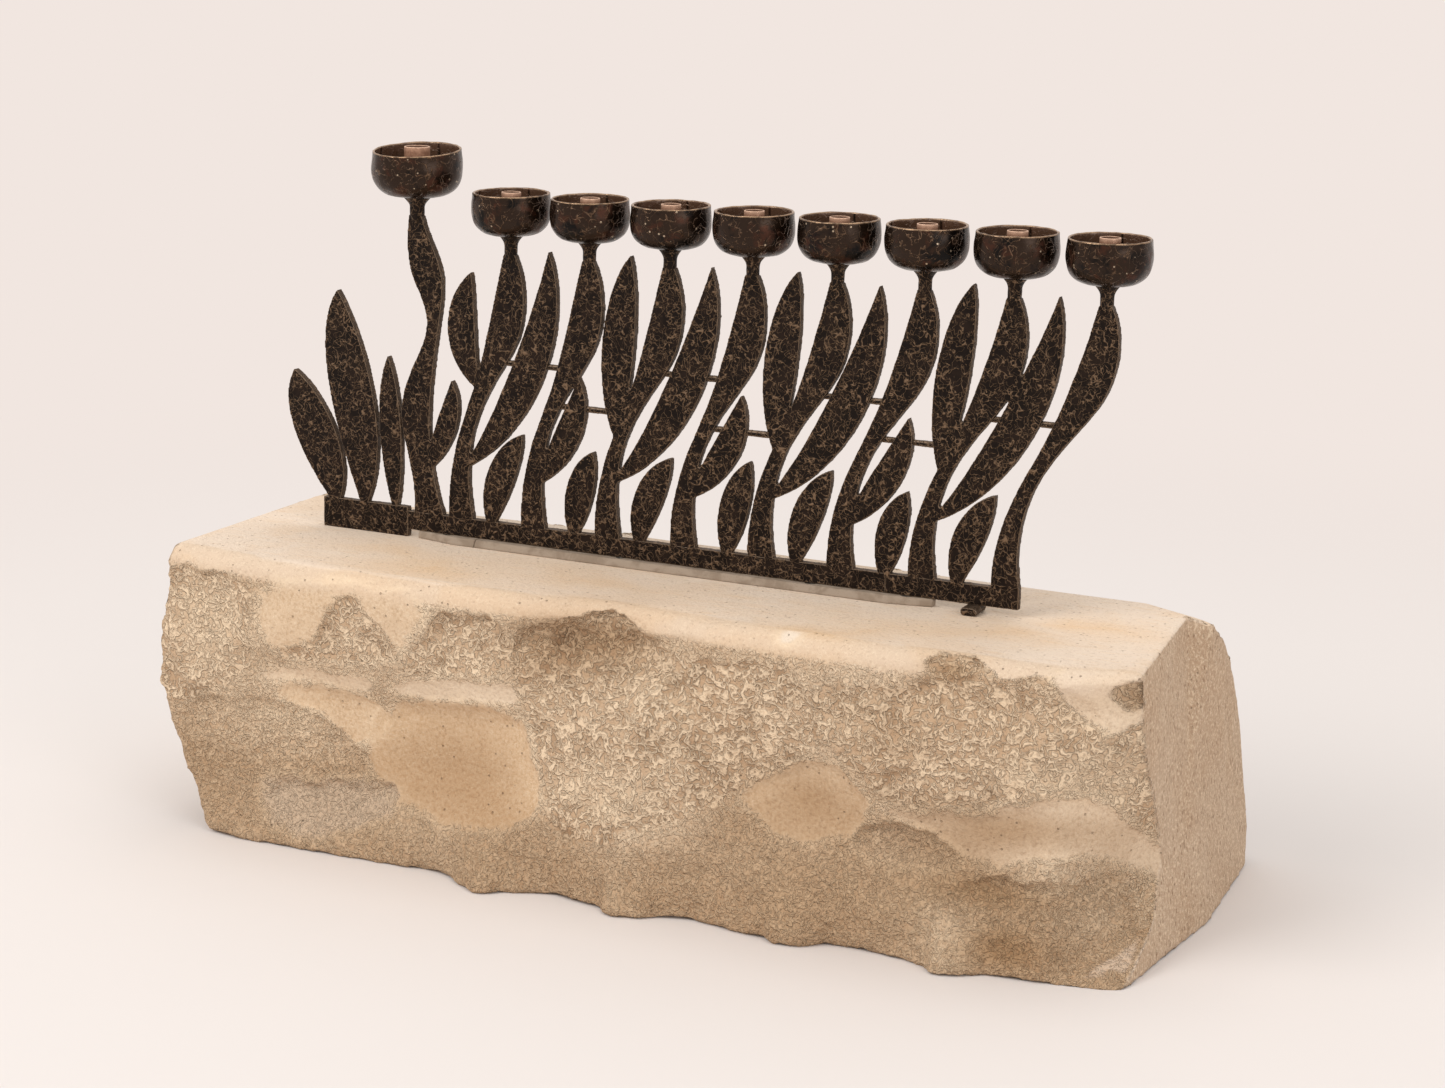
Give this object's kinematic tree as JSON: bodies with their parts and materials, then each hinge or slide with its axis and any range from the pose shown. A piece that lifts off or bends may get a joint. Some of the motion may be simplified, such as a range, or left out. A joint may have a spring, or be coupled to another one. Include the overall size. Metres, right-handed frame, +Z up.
{
  "type": "hanukkah menorah",
  "caption": "Free-standing Hanukkah menorah: a dark bronze openwork of leafy plate stems carries a level row of candle cups and a higher servant cup on a split limestone block.",
  "frame": {"origin": "on the surface that it stands on, under the middle of the stone block's bounding box", "axes": "+X along the row of cups towards the end away from the servant light, +Y from the front to the back, +Z up"},
  "size_m": [0.506, 0.218, 0.3352],
  "materials": {
    "limestone": "split front and back, sawn top and ends",
    "bedding": "pale lime bedding, smoothed",
    "panel_bronze": "dark patina over a chased surface",
    "cup_bronze": "mottled dark patina, waxed, rubbed bright at the rim",
    "socket_copper": "bare, dulled",
    "pin_steel": "plain"
  },
  "bodies": {
    "stand": {"stone_block": "limestone", "bedding_strip_left": "bedding", "bedding_strip_right": "bedding", "base_rail_left": "panel_bronze", "base_rail_right": "panel_bronze", "foot_plate": "panel_bronze", "servant_stem_plate": "panel_bronze", "stem_plate_1": "panel_bronze", "stem_plate_2": "panel_bronze", "stem_plate_3": "panel_bronze", "stem_plate_4": "panel_bronze", "stem_plate_5": "panel_bronze", "stem_plate_6": "panel_bronze", "stem_plate_7": "panel_bronze", "stem_plate_8": "panel_bronze", "foot_leaf_1": "panel_bronze", "foot_leaf_2": "panel_bronze", "foot_leaf_3": "panel_bronze", "lower_leaf_1": "panel_bronze", "lower_leaf_2": "panel_bronze", "lower_leaf_3": "panel_bronze", "lower_leaf_4": "panel_bronze", "lower_leaf_5": "panel_bronze", "lower_leaf_6": "panel_bronze", "lower_leaf_7": "panel_bronze", "slit_ties": "panel_bronze", "rest_peg": "panel_bronze", "anchor_pins": "pin_steel", "servant_collar": "panel_bronze", "collar_1": "panel_bronze", "collar_2": "panel_bronze", "collar_3": "panel_bronze", "collar_4": "panel_bronze", "collar_5": "panel_bronze", "collar_6": "panel_bronze", "collar_7": "panel_bronze", "collar_8": "panel_bronze", "servant_cup": "cup_bronze", "cup_1": "cup_bronze", "cup_2": "cup_bronze", "cup_3": "cup_bronze", "cup_4": "cup_bronze", "cup_5": "cup_bronze", "cup_6": "cup_bronze", "cup_7": "cup_bronze", "cup_8": "cup_bronze"},
    "servant_socket": {"servant_candle_socket": "socket_copper"},
    "socket_1": {"candle_socket_1": "socket_copper"},
    "socket_2": {"candle_socket_2": "socket_copper"},
    "socket_3": {"candle_socket_3": "socket_copper"},
    "socket_4": {"candle_socket_4": "socket_copper"},
    "socket_5": {"candle_socket_5": "socket_copper"},
    "socket_6": {"candle_socket_6": "socket_copper"},
    "socket_7": {"candle_socket_7": "socket_copper"},
    "socket_8": {"candle_socket_8": "socket_copper"}
  },
  "joints": [
    {"name": "servant_socket_lift", "type": "slide", "parent": "stand", "child": "servant_socket", "axis": [0, 0, 1], "range_m": [0, 0.03]},
    {"name": "light_1_socket_lift", "type": "slide", "parent": "stand", "child": "socket_1", "axis": [0, 0, 1], "range_m": [0, 0.028]},
    {"name": "light_2_socket_lift", "type": "slide", "parent": "stand", "child": "socket_2", "axis": [0, 0, 1], "range_m": [0, 0.028]},
    {"name": "light_3_socket_lift", "type": "slide", "parent": "stand", "child": "socket_3", "axis": [0, 0, 1], "range_m": [0, 0.028]},
    {"name": "light_4_socket_lift", "type": "slide", "parent": "stand", "child": "socket_4", "axis": [0, 0, 1], "range_m": [0, 0.028]},
    {"name": "light_5_socket_lift", "type": "slide", "parent": "stand", "child": "socket_5", "axis": [0, 0, 1], "range_m": [0, 0.028]},
    {"name": "light_6_socket_lift", "type": "slide", "parent": "stand", "child": "socket_6", "axis": [0, 0, 1], "range_m": [0, 0.028]},
    {"name": "light_7_socket_lift", "type": "slide", "parent": "stand", "child": "socket_7", "axis": [0, 0, 1], "range_m": [0, 0.028]},
    {"name": "light_8_socket_lift", "type": "slide", "parent": "stand", "child": "socket_8", "axis": [0, 0, 1], "range_m": [0, 0.028]}
  ]
}
